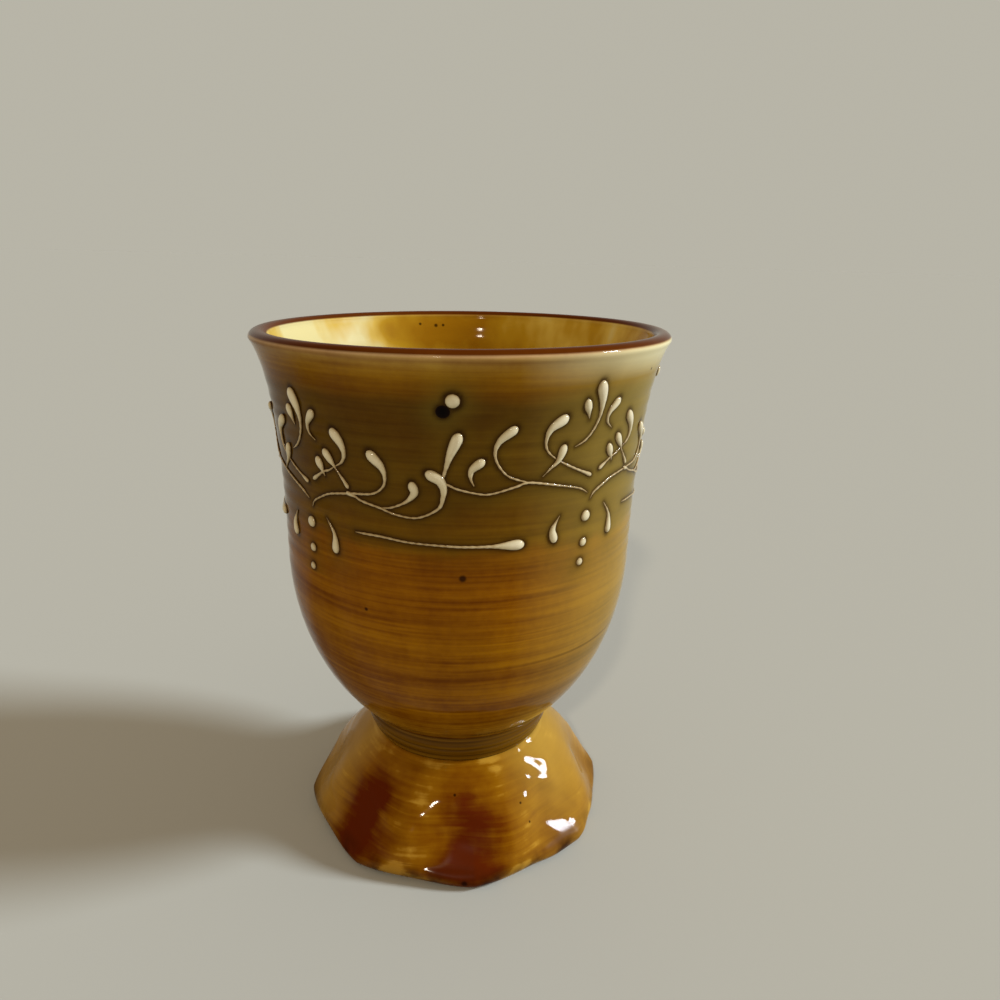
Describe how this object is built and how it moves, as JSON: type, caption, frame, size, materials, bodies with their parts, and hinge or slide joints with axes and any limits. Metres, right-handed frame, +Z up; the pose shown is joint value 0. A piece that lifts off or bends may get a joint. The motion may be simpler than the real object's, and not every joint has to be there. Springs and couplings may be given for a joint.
{
  "type": "footed mug",
  "caption": "Handleless thrown mug with a flared lip on a hollow pedestal foot, its foot pressed into hollows and its wall banded with raised trailed slip, for hot or cold drinks.",
  "frame": {"origin": "middle of the ring that the foot stands on, on the table", "axes": "+Z up the axis of the mug, -Y towards the viewer of the picture, +X to the viewer's right"},
  "size_m": [0.09, 0.09, 0.119],
  "materials": {
    "honey_glaze": "glossy honey glaze with an olive band, a cream shoulder and a brown lip",
    "olive_glaze": "glossy olive glaze",
    "amber_glaze": "glossy amber glaze, red brown where it pools",
    "fired_slip": "unglazed fired slip",
    "white_slip": "cream white slip under clear glaze",
    "black_slip": "black slip under clear glaze"
  },
  "bodies": {
    "root": {"bowl": "honey_glaze", "neck_collar": "olive_glaze", "joining_slip": "fired_slip", "pedestal_foot": "amber_glaze", "scroll_1": "white_slip", "left_sprig_1": "white_slip", "crown_bud_1": "white_slip", "left_leaf_1": "white_slip", "right_leaf_1": "white_slip", "dash_1": "white_slip", "left_drop_1": "white_slip", "right_drop_1": "white_slip", "large_pearl_1": "white_slip", "middle_pearl_1": "white_slip", "small_pearl_1": "white_slip", "white_dot_1": "white_slip", "black_dot_1": "black_slip", "scroll_2": "white_slip", "left_sprig_2": "white_slip", "crown_bud_2": "white_slip", "left_leaf_2": "white_slip", "right_leaf_2": "white_slip", "dash_2": "white_slip", "left_drop_2": "white_slip", "right_drop_2": "white_slip", "large_pearl_2": "white_slip", "middle_pearl_2": "white_slip", "small_pearl_2": "white_slip", "white_dot_2": "white_slip", "black_dot_2": "black_slip", "scroll_3": "white_slip", "left_sprig_3": "white_slip", "crown_bud_3": "white_slip", "left_leaf_3": "white_slip", "right_leaf_3": "white_slip", "dash_3": "white_slip", "left_drop_3": "white_slip", "right_drop_3": "white_slip", "large_pearl_3": "white_slip", "middle_pearl_3": "white_slip", "small_pearl_3": "white_slip", "white_dot_3": "white_slip", "black_dot_3": "black_slip", "scroll_4": "white_slip", "left_sprig_4": "white_slip", "crown_bud_4": "white_slip", "left_leaf_4": "white_slip", "right_leaf_4": "white_slip", "dash_4": "white_slip", "left_drop_4": "white_slip", "right_drop_4": "white_slip", "large_pearl_4": "white_slip", "middle_pearl_4": "white_slip", "small_pearl_4": "white_slip", "white_dot_4": "white_slip", "black_dot_4": "black_slip"}
  },
  "joints": []
}
